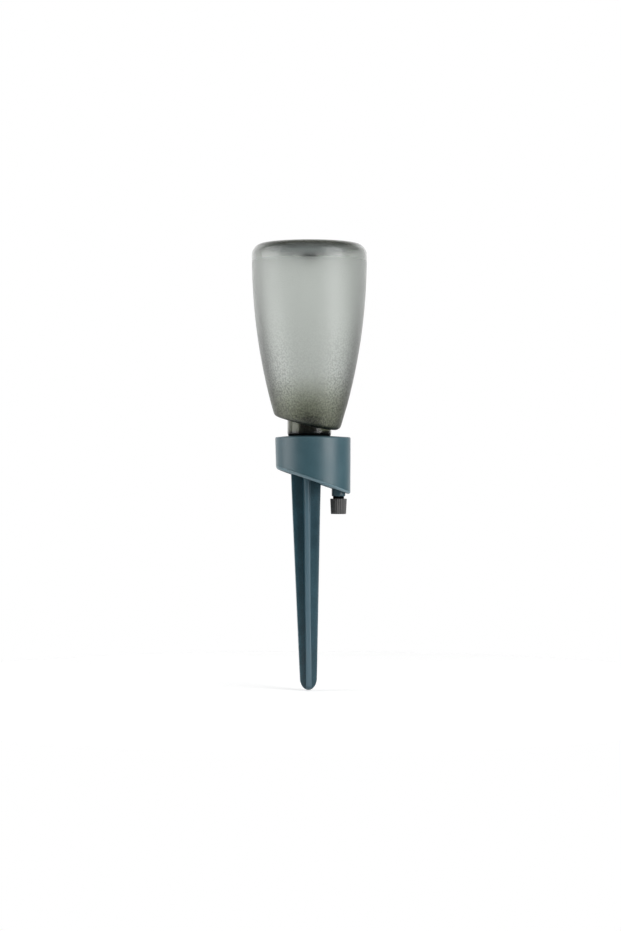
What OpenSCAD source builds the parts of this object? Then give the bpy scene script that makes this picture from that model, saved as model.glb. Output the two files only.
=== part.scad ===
// Drip watering spike: an upside-down bottle screwed into a slant-bottomed drum,
// which stands on a four-ribbed ground spike and lets water out through a drip valve.
// The spike's tip is the origin, +Z is up and the drip valve is on the +X side.

/* [Bottle] */
// Length of the bottle with its threaded neck
bottle_h = 155; // [150:1:165]
// Widest diameter of the bottle
bottle_d = 85; // [80:1:92]
// Wall of the bottle's body
bottle_wall = 1.4; // [1:0.1:2]
// Wall of the bottle's hollowed base
base_wall = 2.2; // [1.6:0.1:2.8]
// Diameter of the bottle's side, carried down to the height of the shoulder
shoulder_d = 48.5; // [47:0.5:52]
// Depth of the widest place below the top
widest_depth = 10; // [9:0.5:14]
// Rounding between the side and the seat ring
base_corner_r = 8.5; // [6:0.5:9]
// Width of the flat seat ring
seat_w = 1.2; // [0.8:0.1:2]
// Rounding from the seat ring into the hollow of the base
seat_lip_r = 1.6; // [1:0.1:2.2]
// Depth of the hollow in the base
punt_depth = 6.8; // [5:0.1:9]
// Height of the slanted shoulder above the collar's underside, on the bottle's axis
shoulder_h = 7.5; // [7:0.1:12]
// Slant of the shoulder
shoulder_tilt = 14; // [10:0.5:15]
// Direction in which the shoulder slants down, from the drip valve's side
shoulder_turn = -24; // [-40:1:0]
// Rounding of the shoulder's rim
shoulder_round = 4; // [3:0.1:5]

/* [Neck] */
// Diameter of the collar between the shoulder and the gasket
collar_d = 32.4; // [31.6:0.1:34]
// Wall of the collar
collar_wall = 1.6; // [1.2:0.1:2]
// Length of the threaded neck under the collar
neck_h = 14.3; // [14:0.1:15]
// Diameter of the threaded neck under its thread
neck_d = 23.2; // [22.6:0.1:23.8]
// Bore of the neck
neck_bore_d = 19.2; // [18.6:0.1:19.6]
// Pitch of the bottle's thread
bottle_pitch = 4; // [3.6:0.1:4.2]
// Height of the thread's ridge
bottle_ridge_h = 1.1; // [0.9:0.05:1.2]
// Width of the thread's ridge at its root
bottle_ridge_w = 1.8; // [1.4:0.1:2]
// Turns of ridge on the neck, and as many in the socket
bottle_turns = 1.75; // [1:0.25:1.75]
// Play of the bottle's thread, on the radius
thread_gap = 0.3; // [0.2:0.05:0.35]
// Thickness of the neck gasket
gasket_t = 2.3; // [1.8:0.1:2.6]
// Outside diameter of the neck gasket
gasket_d = 30.6; // [29:0.1:31.5]

/* [Drum] */
// Distance from the spike's tip sideways to the bottle's axis
bottle_offset = 0.65; // [0:0.05:2]
// Distance from the bottle's axis sideways to the drum's axis
drum_offset = 2.6; // [2.2:0.1:3]
// Height of the drum above its slanted rim, on the bottle's axis
drum_h = 32; // [32:0.1:38]
// Diameter of the drum at its top
drum_d = 55.8; // [55:0.1:60]
// How much narrower the drum is at its lowest level
drum_taper = 2.2; // [1:0.1:3]
// Wall of the drum at its lowest level
drum_wall = 1.8; // [1.6:0.1:2.2]
// Slant of the drum's rim and of its base plate
rim_tilt = 19.3; // [18:0.1:20]
// Rounding of the drum's top edge
deck_round = 1; // [0.5:0.1:2]
// Rounding of the drum's slanted rim
rim_round = 3; // [2:0.1:4]
// Thickness of the drum's top
deck_t = 2.4; // [2:0.1:3]
// Width of the ledge that the base seal is pressed against
ledge_w = 1.6; // [1.2:0.1:1.7]
// Thickness of the ledge
ledge_t = 2; // [1.5:0.1:2.5]

/* [Socket and strainer] */
// Wall of the threaded socket
socket_wall = 2; // [1.6:0.1:2.2]
// Thickness of the socket's floor and of its flange
socket_floor_t = 2; // [1.6:0.1:2.2]
// Width of the socket's flange, as a share of the room beside it in the drum
flange_share = 0.4; // [0.2:0.05:0.7]
// Diameter of the water port in the socket's floor
port_d = 11; // [10:0.1:12]
// Diameter of the strainer's tube
strainer_d = 15.2; // [14.6:0.1:15.6]
// Wall of the strainer
strainer_wall = 1.2; // [1:0.1:1.5]
// Height of the strainer's closed end above the drum's top
strainer_rise = 17; // [14:0.5:20]
// Diameter of the strainer's foot
foot_d = 19; // [18:0.1:20]
// Thickness of the strainer's foot
foot_t = 1.6; // [1.2:0.1:1.8]
// Width of each slot in the strainer
slot_w = 1.1; // [0.8:0.1:1.4]
// Slots round the strainer in each row
slot_count = 12; // [8:1:14]
// Rows of slots
slot_rows = 2; // [1:1:3]
// Solid band between the rows of slots
slot_band = 2; // [1.5:0.1:3]

/* [Base plate] */
// Thickness of the base plate, measured upright
plate_t = 2; // [1.8:0.1:2.6]
// Depth of the base plate inside the slanted rim, measured upright
plate_recess = 1.6; // [1.4:0.1:2.2]
// Thickness of the base seal, measured upright
base_seal_t = 1.4; // [1.1:0.1:1.8]
// How far the snap beads under the base plate stand out
bead_w = 0.4; // [0.3:0.05:0.5]
// Height of a snap bead, measured upright
bead_t = 0.8; // [0.6:0.1:1]
// Length of each of the four snap beads
bead_len = 12; // [8:0.5:16]
// Wall of the well that the spike plugs into, and of its roof
well_wall = 1.8; // [1.4:0.1:2.2]
// Height of the outlet boss above the slanted rim, on the valve's axis
boss_h = 7; // [6.8:0.1:8]
// Wall of the outlet boss
boss_wall = 1.3; // [1:0.05:1.35]

/* [Spike] */
// Height of the slanted rim above the spike's tip, on the bottle's axis
spike_h = 155; // [120:1:200]
// Width across the ribs at that height
spike_d = 22; // [20:0.1:24]
// Width across the ribs where the tip begins
spike_low_d = 12.8; // [11:0.1:14]
// Length of the rounded tip
tip_h = 9; // [7:0.5:12]
// Thickness of a rib along its outer edge
rib_edge_t = 2.4; // [2:0.1:3]
// Thickness of a rib where it meets the others
rib_root_t = 3.9; // [3.2:0.1:4.4]
// Lean of the spike from upright, away from the drip valve
spike_lean = 0.72; // [0:0.02:1]
// Diameter of the plug on top of the spike
plug_d = 11; // [10:0.1:12]
// Length of the plug above the base plate's underside
plug_h = 8; // [6:0.1:8.5]

/* [Outlet pipe] */
// Distance from the drum's inner wall to the drip valve's axis
outlet_inset = 6; // [5.95:0.05:6.4]
// Diameter of the outlet pipe
pipe_d = 10.1; // [9.6:0.1:10.3]
// How far the pipe hangs below the slanted rim, on the valve's axis
pipe_drop = 4.2; // [3.6:0.1:6]
// Bore of the outlet pipe
pipe_bore_d = 3; // [2.6:0.1:3.2]
// Diameter of the spigot through the base plate
spigot_d = 6; // [5.8:0.1:6]
// How far the snap barb on the spigot stands out
barb_w = 0.5; // [0.3:0.05:0.7]
// Height of the snap barb
barb_h = 1.6; // [1.2:0.1:2]
// Thickness of the outlet seal
outlet_seal_t = 1.4; // [1.2:0.1:1.6]
// Depth of the outlet seal's groove
outlet_seal_w = 0.7; // [0.5:0.05:0.8]
// Diameter of the stem inside the knob
stem_d = 6.4; // [6.2:0.1:6.8]
// Length of the stem below the pipe
stem_h = 8.8; // [8.6:0.1:9.2]
// Bore of the valve's seat
seat_bore_d = 1.5; // [1.3:0.05:1.7]
// Length of the valve's seat
seat_bore_h = 2; // [1.5:0.1:3]

/* [Drip knob] */
// Thickness of the ring between the pipe and the knob
knob_seal_t = 1.7; // [1.5:0.1:1.9]
// Outside diameter of that ring
knob_seal_d = 8.2; // [7.8:0.1:8.6]
// Diameter over the knob's ribs at its top
knob_d = 12.3; // [12:0.1:13]
// Diameter over the knob's ribs at its lower end
knob_low_d = 11.2; // [11:0.1:11.6]
// Height of the knob
knob_h = 11.4; // [11.2:0.1:12.5]
// Ribs round the knob
knob_ribs = 26; // [16:1:32]
// Depth of the grooves between the knob's ribs, at its lower end
knob_groove = 0.35; // [0.2:0.05:0.4]
// Bore of the drip outlet in the knob's lower end
drip_bore_d = 6; // [5.6:0.1:6.2]
// Depth of the drip outlet
drip_bore_h = 2.2; // [1.8:0.1:2.4]
// Thickness of the three arms that hold the needle
arm_t = 1.2; // [0.9:0.1:1.4]
// Diameter of the metering needle's foot
needle_d = 1.9; // [1.8:0.05:2]
// Wall of the hub round the needle
hub_wall = 0.8; // [0.6:0.05:0.9]
// Length of the needle's cone inside the seat
cone_h = 2.4; // [2:0.1:3]
// Diameter of the needle's tip
needle_tip_d = 0.6; // [0.4:0.05:0.8]
// Pitch of the valve's thread
valve_pitch = 2; // [1.8:0.1:2.1]
// Height of the valve thread's ridge
valve_ridge_h = 0.55; // [0.45:0.05:0.6]
// Width of the valve thread's ridge at its root
valve_ridge_w = 0.8; // [0.6:0.05:0.9]
// Turns of ridge on the stem, and as many in the knob
valve_turns = 1.25; // [1:0.25:1.25]
// Play of the valve's thread, on the radius
valve_gap = 0.15; // [0.1:0.05:0.2]

/* [Vent plug] */
// Diameter of the vent plug's head
vent_d = 12; // [10.5:0.1:13]
// Diameter of the hole for it in the bottle's base
vent_hole_d = 8; // [7:0.1:9]
// Thickness of the head and of the bead inside the bottle
vent_t = 1.2; // [0.8:0.1:1.6]
// Diameter of the breather hole through it
breather_d = 1; // [0.6:0.1:1.4]

/* [Fits] */
// Clearance of a round piece that turns or slides in its bore, on the radius
running_gap = 0.04; // [0.02:0.01:0.06]
// Clearance round a piece that is pushed in at assembly, on the radius
slip_gap = 0.1; // [0.05:0.01:0.12]
// Free space past the end of a piece
end_gap = 0.3; // [0.2:0.05:0.4]

/* [Hidden] */
$fn = 96;

teal = [0.36, 0.5, 0.55];
dark_teal = [0.13, 0.23, 0.28];
black = [0.07, 0.07, 0.07];

// Overrun of a cut past the surface that it leaves, and the depth to which a ridge is rooted
cut = drum_d / 50;
root_share = 0.3;
// Reach of the tools that cut along a slant
reach = 2 * bottle_d;
// Steps in the bottle's side, in a rounded corner and in one turn of a thread
side_steps = 9;
corner_steps = 8;
ridge_steps = 24;
// Angle over which a thread's ridge runs out at its ends
runout = 30;

// Levels of the drum, and the bottle standing in it
deck_z = spike_h + drum_h;
ceiling_z = deck_z - deck_t;
collar_z = deck_z + gasket_t;
neck_z = collar_z - neck_h;
top_z = neck_z + bottle_h;
widest_z = top_z - widest_depth;
punt_z = top_z - punt_depth;
shoulder_z = collar_z + shoulder_h;

// Curve along the bottle's side, from the widest place to the shoulder
side_h = widest_z - shoulder_z;
side_drop = (bottle_d - shoulder_d) / 2;
side_curve_r = (side_h ^ 2 + side_drop ^ 2) / 2 / side_drop;

// Outline of the bottle's base
seat_r = bottle_d / 2 - base_corner_r;
punt_r = seat_r - seat_w - seat_lip_r;
punt_flat_r = vent_d / 2 + end_gap;
punt_rise = punt_depth - seat_lip_r;
punt_curve_r = ((punt_r - punt_flat_r) ^ 2 + punt_rise ^ 2) / 2 / punt_rise;

// The round tool that shapes the shoulder's rim: its opening angle, its set-back and its foot
shoulder_flare = shoulder_tilt + asin(side_h / side_curve_r);
shoulder_back = shoulder_round / 2;
shoulder_foot_r = (shoulder_d - shoulder_round * 0.8) / 2;

// Radii of the neck and its socket
neck_r = neck_d / 2;
socket_r = neck_r + bottle_ridge_h + thread_gap;
socket_outer_r = socket_r + socket_wall;
foot_z = neck_z - end_gap - foot_t;
socket_end_z = foot_z - socket_floor_t;
neck_ridge_z = neck_z + bottle_ridge_w;

// The drum's slanted rim and what lies on it
drum_x = bottle_offset + drum_offset;
drum_low_d = drum_d - drum_taper;
drum_bore_r = drum_low_d / 2 - drum_wall;
flange_r = socket_outer_r + (drum_bore_r - drum_offset - socket_outer_r) * flange_share;
drum_low_z = spike_h - (drum_offset + drum_low_d / 2) * tan(rim_tilt);
rim_foot_r = drum_low_d / 2 / cos(rim_tilt) - rim_round * tan(45 - rim_tilt / 2);
plate_r = drum_bore_r - slip_gap;
plate_z = spike_h + plate_recess;
plate_top_z = plate_z + plate_t;
ledge_z = plate_top_z + base_seal_t;

// The spike's root and the well over it, along the spike's own axis
root_z = plate_z + spike_h * tan(spike_lean) * tan(rim_tilt);
well_r = plug_d / 2 + running_gap;
// Thickness that a rib would thin down to at twice its width
rib_far_t = rib_edge_t - spike_d * (rib_root_t - rib_edge_t) / (spike_d - rib_root_t);

// Levels and radii of the drip valve
valve_x = drum_x + drum_bore_r - outlet_inset;
valve_rim_z = spike_h - (valve_x - bottle_offset) * tan(rim_tilt);
boss_z = valve_rim_z + boss_h;
boss_bore_r = spigot_d / 2 + running_gap;
outlet_seal_z = boss_z - 2 * outlet_seal_t;
pipe_z = valve_rim_z - pipe_drop;
stem_z = pipe_z - stem_h;
stem_r = stem_d / 2;
stem_core_r = stem_r - valve_ridge_h;
journal_h = stem_h / 2;
stem_ridge_z = stem_z + valve_ridge_w;
knob_bore_r = stem_r + valve_gap;
knob_top_z = pipe_z - knob_seal_t;
knob_z = knob_top_z - knob_h;
arm_z = knob_z + drip_bore_h;
cavity_z = stem_z - end_gap;

// Points along an arc round a centre, from angle a0 to a1
function arc(centre, r, a0, a1) = [
    for (i = [0 : corner_steps])
        let (a = a0 + (a1 - a0) * i / corner_steps)
            centre + r * [cos(a), sin(a)]
];

// Radius of the bottle's side at a height
function side_r(z) = bottle_d / 2 - side_curve_r + sqrt(side_curve_r ^ 2 - (widest_z - z) ^ 2);

// Height of the hollowed base at a radius
function punt_height(r) = punt_z + punt_curve_r - sqrt(punt_curve_r ^ 2 - (r - punt_flat_r) ^ 2);

// Half the outline of the bottle's body: the outside, or the inside when the walls are given
function body_outline(wall, base) = concat(
    [[0, collar_z]],
    [
        for (i = [0 : side_steps])
            let (z = collar_z + (widest_z - collar_z) * i / side_steps)
                [side_r(z) - wall, z]
    ],
    arc([seat_r, top_z - base_corner_r], base_corner_r - wall, 0, 90),
    base > 0 ? [] : arc([seat_r - seat_w, top_z - seat_lip_r], seat_lip_r, 90, 180),
    [
        for (i = [0 : corner_steps])
            let (r = punt_r + (punt_flat_r - punt_r) * i / corner_steps)
                [r, punt_height(r) - base]
    ],
    [[0, punt_z - base]]
);

// Half the outline of the spike, with its rounded tip at the origin
function spike_outline() = concat(
    [
        for (i = [0 : corner_steps])
            let (a = 90 * i / corner_steps)
                [spike_low_d / 2 * sin(a), tip_h * (1 - cos(a))]
    ],
    [
        let (over = spike_h + spike_d, slope = (spike_d - spike_low_d) / 2 / (spike_h - tip_h))
            [spike_low_d / 2 + slope * (over - tip_h), over]
    ],
    [[0, spike_h + spike_d]]
);

// Outline of the four ribs, seen along the spike
function rib_outline() = [
    for (k = [0 : 3])
        let (c = cos(90 * k), s = sin(90 * k))
            for (p = [
                [rib_root_t / 2, -rib_root_t / 2],
                [spike_d, -rib_far_t / 2],
                [spike_d, rib_far_t / 2]
            ])
                [c * p.x - s * p.y, s * p.x + c * p.y]
];

// Outline of the knob's ribs, seen along the knob; its cone cuts their crests
function knob_outline() = [
    for (k = [0 : knob_ribs - 1])
        for (step = [[0, 0], [0.25, 1], [0.55, 1], [0.8, 0]])
            let (
                a = 360 * (k + step.x) / knob_ribs,
                r = step.y * knob_d / 2 + (1 - step.y) * (knob_low_d / 2 - knob_groove)
            )
                [r * cos(a), r * sin(a)]
];

// Height of a thread's crest at an angle, as a share that runs out at both ends
function ridge_share(a, total) = min(1, a / runout, (total - a) / runout);

// Everything above the slanted plane at height z on the bottle's axis, to an upright depth t
module slant_slab(z, t) {
    translate([bottle_offset, 0, z])
        rotate([0, rim_tilt, 0])
            translate([-reach, -reach, 0])
                cube([2 * reach, 2 * reach, t * cos(rim_tilt)]);
}

// Slanted ring in the drum, between two radii
module slant_ring(r_in, r_out, z, t) {
    intersection() {
        translate([drum_x, 0, drum_low_z])
            difference() {
                cylinder(r = r_out, h = drum_d);
                translate([0, 0, -cut])
                    cylinder(r = r_in, h = drum_d + 2 * cut);
            }
        slant_slab(z, t);
    }
}

// Block that stands on a flat foot of radius r, curves up from it and opens out at the angle flare
module round_foot(r, rounding, flare) {
    rotate_extrude()
        polygon(concat(
            [[0, 0]],
            arc([r, rounding], rounding, -90, -flare),
            [
                [r + rounding * cos(flare) + reach * sin(flare), rounding + reach * cos(flare)],
                [0, rounding + reach * cos(flare)]
            ]
        ));
}

// Solid of the bottle's body above its slanted shoulder, shrunk by its walls
module bottle_body(wall, base) {
    intersection() {
        rotate_extrude()
            polygon(body_outline(wall, base));
        translate([0, 0, shoulder_z + wall])
            rotate([0, 0, shoulder_turn])
                rotate([0, shoulder_tilt, 0])
                    translate([-shoulder_back, 0, 0])
                        round_foot(shoulder_foot_r, shoulder_round - wall, shoulder_flare);
    }
}

// Helical ridge on a wall, outward or inward, that starts on the plane z = 0
module ridge(wall_r, crest_r, width, pitch, turns) {
    total = 360 * turns;
    steps = ceil(turns * ridge_steps);
    root_r = wall_r - (crest_r - wall_r) * root_share;
    points = [
        for (i = [0 : steps])
            let (
                a = total * i / steps,
                z = pitch * a / 360,
                share = ridge_share(a, total) * (1 + root_share / 2) - root_share / 2,
                r = wall_r + (crest_r - wall_r) * share
            )
                for (p = [[root_r, -2], [r, -1], [r, 1], [root_r, 2]])
                    [p.x * cos(a), p.x * sin(a), z + p.y * width / 4]
    ];
    walls = [
        for (i = [0 : steps - 1])
            for (k = [0 : 3])
                let (a = 4 * i + k, b = 4 * i + (k + 1) % 4)
                    each [[a, b, b + 4], [a, b + 4, a + 4]]
    ];
    last = 4 * steps;
    ends = [[2, 1, 0], [3, 2, 0], [last, last + 1, last + 2], [last, last + 2, last + 3]];
    faces = concat(walls, ends);
    polyhedron(points, crest_r > wall_r ? faces : [for (f = faces) [f[2], f[1], f[0]]]);
}

module bottle() {
    color([0.66, 0.68, 0.64, 0.6])
        translate([bottle_offset, 0, 0]) {
            difference() {
                union() {
                    bottle_body(0, 0);
                    translate([0, 0, collar_z])
                        cylinder(d = collar_d, h = 2 * shoulder_h);
                    translate([0, 0, neck_z])
                        cylinder(r = neck_r, h = neck_h + collar_wall);
                    translate([0, 0, neck_ridge_z])
                        ridge(neck_r, neck_r + bottle_ridge_h, bottle_ridge_w, bottle_pitch, bottle_turns);
                }
                bottle_body(bottle_wall, base_wall);
                translate([0, 0, collar_z + collar_wall])
                    cylinder(d = collar_d - 2 * collar_wall, h = 2 * shoulder_h);
                translate([0, 0, neck_z - cut])
                    cylinder(d = neck_bore_d, h = neck_h + shoulder_h);
                translate([0, 0, punt_z - base_wall - cut])
                    cylinder(d = vent_hole_d, h = base_wall + 2 * cut);
            }
        }
}

module vent_plug() {
    bead_z = punt_z - base_wall - vent_t;
    color(black)
        translate([bottle_offset, 0, 0])
            rotate_extrude()
                polygon([
                    [breather_d / 2, bead_z - vent_t],
                    [vent_hole_d / 2 - vent_t, bead_z - vent_t],
                    [vent_hole_d / 2 + vent_t, bead_z],
                    [vent_hole_d / 2 + vent_t, bead_z + vent_t],
                    [vent_hole_d / 2 - running_gap, bead_z + vent_t],
                    [vent_hole_d / 2 - running_gap, punt_z],
                    [vent_d / 2, punt_z],
                    [vent_d / 2, punt_z + vent_t / 2],
                    [vent_d / 2 - vent_t / 2, punt_z + vent_t],
                    [breather_d / 2, punt_z + vent_t]
                ]);
}

module neck_gasket() {
    color(black)
        translate([bottle_offset, 0, deck_z])
            rotate_extrude()
                translate([neck_r + running_gap, 0])
                    polygon(concat(
                        [[0, 0]],
                        arc([gasket_width() - gasket_t / 4, gasket_t / 4], gasket_t / 4, -90, 0),
                        arc([gasket_width() - gasket_t / 4, gasket_t * 3 / 4], gasket_t / 4, 0, 90),
                        [[0, gasket_t]]
                    ));
}

function gasket_width() = gasket_d / 2 - neck_r - running_gap;

module strainer() {
    top = deck_z + strainer_rise;
    r = strainer_d / 2;
    lip_r = port_d / 2 - running_gap;
    row_z = foot_z + foot_t + slot_band;
    row_h = (top - strainer_wall - row_z) / slot_rows - slot_band;
    color(black)
        translate([bottle_offset, 0, 0])
            difference() {
                rotate_extrude()
                    polygon(concat(
                        [
                            [lip_r - strainer_wall, socket_end_z],
                            [lip_r, socket_end_z],
                            [lip_r, foot_z],
                            [foot_d / 2, foot_z],
                            [foot_d / 2, foot_z + foot_t],
                            [r, foot_z + foot_t]
                        ],
                        arc([r - strainer_wall, top - strainer_wall], strainer_wall, 0, 90),
                        [
                            [0, top],
                            [0, top - strainer_wall],
                            [r - strainer_wall, top - strainer_wall],
                            [r - strainer_wall, foot_z + foot_t],
                            [lip_r - strainer_wall, foot_z]
                        ]
                    ));
                for (row = [0 : slot_rows - 1])
                    for (i = [0 : slot_count - 1])
                        rotate([0, 0, 360 * i / slot_count])
                            translate([0, -slot_w / 2, row_z + row * (row_h + slot_band)])
                                cube([strainer_d, slot_w, row_h]);
            }
}

module holder_shell() {
    color(teal)
        union() {
            difference() {
                intersection() {
                    translate([drum_x, 0, 0])
                        rotate_extrude()
                            polygon(concat(
                                [[0, drum_low_z - cut], [drum_low_d / 2, drum_low_z - cut]],
                                [[drum_low_d / 2, drum_low_z]],
                                arc([drum_d / 2 - deck_round, deck_z - deck_round], deck_round, 0, 90),
                                [[0, deck_z]]
                            ));
                    translate([bottle_offset, 0, spike_h])
                        rotate([0, rim_tilt, 0])
                            translate([drum_offset / cos(rim_tilt), 0, 0])
                                round_foot(rim_foot_r, rim_round, 2 * rim_tilt);
                }
                translate([drum_x, 0, drum_low_z - cut])
                    cylinder(r = drum_bore_r, h = ceiling_z - drum_low_z + cut);
                translate([bottle_offset, 0, ceiling_z - cut])
                    cylinder(r = socket_outer_r + running_gap, h = deck_t + 2 * cut);
            }
            slant_ring(drum_bore_r - ledge_w, drum_bore_r + ledge_w / 4, ledge_z, ledge_t);
            intersection() {
                slant_ring(drum_bore_r - bead_w, drum_bore_r + bead_w, plate_z - bead_t, bead_t);
                union()
                    for (a = [45, 135])
                        translate([drum_x, 0, drum_low_z])
                            rotate([0, 0, a])
                                translate([-drum_d / 2, -bead_len / 2, 0])
                                    cube([drum_d, bead_len, drum_d]);
            }
        }
}

module socket_cup() {
    color(dark_teal)
        translate([bottle_offset, 0, 0]) {
            difference() {
                union() {
                    translate([0, 0, socket_end_z])
                        cylinder(r = socket_outer_r, h = deck_z - socket_end_z);
                    translate([0, 0, ceiling_z - socket_floor_t])
                        cylinder(r = flange_r, h = socket_floor_t);
                }
                translate([0, 0, foot_z])
                    cylinder(r = socket_r, h = deck_z - foot_z + cut);
                translate([0, 0, socket_end_z - cut])
                    cylinder(d = port_d, h = socket_floor_t + 2 * cut);
            }
            translate([0, 0, neck_ridge_z])
                rotate([0, 0, 180])
                    ridge(socket_r, neck_r + thread_gap, bottle_ridge_w, bottle_pitch, bottle_turns);
        }
}

module base_plate() {
    color(dark_teal)
        difference() {
            union() {
                slant_disc(plate_r, plate_z, plate_t);
                intersection() {
                    slant_slab(plate_z, drum_d);
                    union() {
                        at_spike()
                            translate([0, 0, root_z - plug_h])
                                cylinder(r = well_r + well_wall, h = 2 * plug_h + end_gap + well_wall);
                        translate([valve_x, 0, pipe_z])
                            cylinder(r = boss_bore_r + boss_wall, h = boss_z - pipe_z);
                    }
                }
            }
            at_spike()
                translate([0, 0, root_z - plug_h])
                    cylinder(r = well_r, h = 2 * plug_h + end_gap);
            translate([valve_x, 0, pipe_z])
                cylinder(r = boss_bore_r, h = boss_z - pipe_z + cut);
        }
}

// Places what is drawn along the spike's own axis
module at_spike() {
    rotate([0, -spike_lean, 0])
        children();
}

// Slanted disc that fills the drum to a radius
module slant_disc(r, z, t) {
    intersection() {
        translate([drum_x, 0, drum_low_z])
            cylinder(r = r, h = drum_d);
        slant_slab(z, t);
    }
}

module base_seal() {
    color(black)
        slant_ring(drum_bore_r - ledge_w, plate_r, plate_top_z, base_seal_t);
}

module spike() {
    color(dark_teal)
        union() {
            difference() {
                at_spike()
                    intersection() {
                        rotate_extrude()
                            polygon(spike_outline());
                        linear_extrude(spike_h + spike_d)
                            polygon(rib_outline());
                    }
                slant_slab(plate_z, drum_d);
            }
            intersection() {
                slant_slab(plate_z, drum_d);
                at_spike()
                    translate([0, 0, root_z - plug_h])
                        cylinder(d = plug_d, h = 2 * plug_h);
            }
        }
}

module outlet_pipe() {
    spigot_r = spigot_d / 2;
    color(dark_teal)
        difference() {
            union() {
                difference() {
                    translate([valve_x, 0, pipe_z])
                        cylinder(d = pipe_d, h = pipe_d);
                    slant_slab(plate_z, drum_d);
                }
                translate([valve_x, 0, pipe_z])
                    rotate_extrude()
                        polygon([
                            [0, 0],
                            [spigot_r, 0],
                            [spigot_r, boss_z - pipe_z],
                            [spigot_r + barb_w, boss_z - pipe_z],
                            [spigot_r, boss_z - pipe_z + barb_h],
                            [0, boss_z - pipe_z + barb_h]
                        ]);
                translate([valve_x, 0, stem_z])
                    cylinder(r = stem_core_r, h = stem_h);
                translate([valve_x, 0, pipe_z - journal_h])
                    cylinder(r = stem_r, h = journal_h);
                translate([valve_x, 0, stem_ridge_z])
                    ridge(stem_core_r, stem_r, valve_ridge_w, valve_pitch, valve_turns);
            }
            translate([valve_x, 0, stem_z + seat_bore_h])
                cylinder(d = pipe_bore_d, h = boss_z + barb_h - stem_z);
            translate([valve_x, 0, stem_z - cut])
                cylinder(d = seat_bore_d, h = seat_bore_h + 2 * cut);
            translate([valve_x, 0, outlet_seal_z])
                difference() {
                    cylinder(r = spigot_r + cut, h = outlet_seal_t);
                    cylinder(r = spigot_r - outlet_seal_w, h = outlet_seal_t);
                }
        }
}

module outlet_seal() {
    color(black)
        translate([valve_x, 0, outlet_seal_z])
            difference() {
                cylinder(r = boss_bore_r, h = outlet_seal_t);
                translate([0, 0, -cut])
                    cylinder(r = spigot_d / 2 - outlet_seal_w, h = outlet_seal_t + 2 * cut);
            }
}

module knob_seal() {
    color(black)
        translate([valve_x, 0, knob_top_z])
            difference() {
                cylinder(d = knob_seal_d, h = knob_seal_t);
                translate([0, 0, -cut])
                    cylinder(r = stem_r + running_gap, h = knob_seal_t + 2 * cut);
            }
}

module drip_knob() {
    hub_r = needle_d / 2 + hub_wall;
    color([0.4, 0.4, 0.4])
        translate([valve_x, 0, 0]) {
            difference() {
                intersection() {
                    translate([0, 0, knob_z])
                        cylinder(r1 = knob_low_d / 2, r2 = knob_d / 2, h = knob_h);
                    translate([0, 0, knob_z])
                        linear_extrude(knob_h)
                            polygon(knob_outline());
                }
                translate([0, 0, arm_z])
                    cylinder(r = knob_bore_r, h = knob_h);
                translate([0, 0, knob_z - cut])
                    cylinder(d = drip_bore_d, h = drip_bore_h + 2 * cut);
            }
            difference() {
                translate([0, 0, arm_z])
                    union() {
                        cylinder(r = hub_r, h = cavity_z - arm_z);
                        for (a = [0, 120, 240])
                            rotate([0, 0, a])
                                translate([0, -arm_t / 2, 0])
                                    cube([knob_bore_r + valve_gap, arm_t, cavity_z - arm_z]);
                    }
                translate([0, 0, arm_z - cut])
                    cylinder(d = needle_d, h = cavity_z - arm_z + 2 * cut);
            }
            translate([0, 0, stem_ridge_z])
                rotate([0, 0, 180])
                    ridge(knob_bore_r, stem_core_r + valve_gap, valve_ridge_w, valve_pitch, valve_turns);
        }
}

module metering_needle() {
    color(black)
        translate([valve_x, 0, 0])
            rotate_extrude()
                polygon([
                    [0, arm_z],
                    [needle_d / 2, arm_z],
                    [needle_d / 2, cavity_z],
                    [seat_bore_d / 2 - running_gap, stem_z],
                    [needle_tip_d / 2, stem_z + cone_h],
                    [0, stem_z + cone_h]
                ]);
}

bottle();
vent_plug();
neck_gasket();
strainer();
holder_shell();
socket_cup();
base_plate();
base_seal();
spike();
outlet_pipe();
outlet_seal();
knob_seal();
drip_knob();
metering_needle();
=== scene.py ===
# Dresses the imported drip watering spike: an upside-down bottle in a slant-bottomed drum
# on a four-ribbed ground spike, with a ribbed drip knob under the drum.
import math
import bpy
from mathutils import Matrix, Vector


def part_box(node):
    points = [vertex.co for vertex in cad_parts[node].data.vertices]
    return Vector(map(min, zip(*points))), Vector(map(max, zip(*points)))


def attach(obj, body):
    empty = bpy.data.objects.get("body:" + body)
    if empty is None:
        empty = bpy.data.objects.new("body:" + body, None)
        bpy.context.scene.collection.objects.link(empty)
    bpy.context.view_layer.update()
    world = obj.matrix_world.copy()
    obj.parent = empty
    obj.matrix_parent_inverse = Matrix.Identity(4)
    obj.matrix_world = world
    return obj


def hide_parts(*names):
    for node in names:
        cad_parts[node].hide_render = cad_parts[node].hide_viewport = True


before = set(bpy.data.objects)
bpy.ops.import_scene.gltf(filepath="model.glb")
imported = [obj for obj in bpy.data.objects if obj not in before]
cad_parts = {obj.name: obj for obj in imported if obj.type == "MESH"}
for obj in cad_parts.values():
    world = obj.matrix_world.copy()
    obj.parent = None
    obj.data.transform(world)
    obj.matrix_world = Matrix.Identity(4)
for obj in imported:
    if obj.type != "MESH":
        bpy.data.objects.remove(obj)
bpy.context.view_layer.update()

from types import SimpleNamespace

import bmesh
import bpy
from bpy.props import FloatProperty, FloatVectorProperty, IntProperty, PointerProperty
from mathutils import Matrix, Vector

bl_info = {
    "name": "Drip Watering Spike",
    "version": (1, 0, 0),
    "blender": (4, 5, 0),
    "location": "View3D > Sidebar > Drip Spike",
    "description": "Models the outer pieces of a bottle-fed drip spike round its packed solids",
    "category": "Object",
}

MM = 0.001


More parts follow.
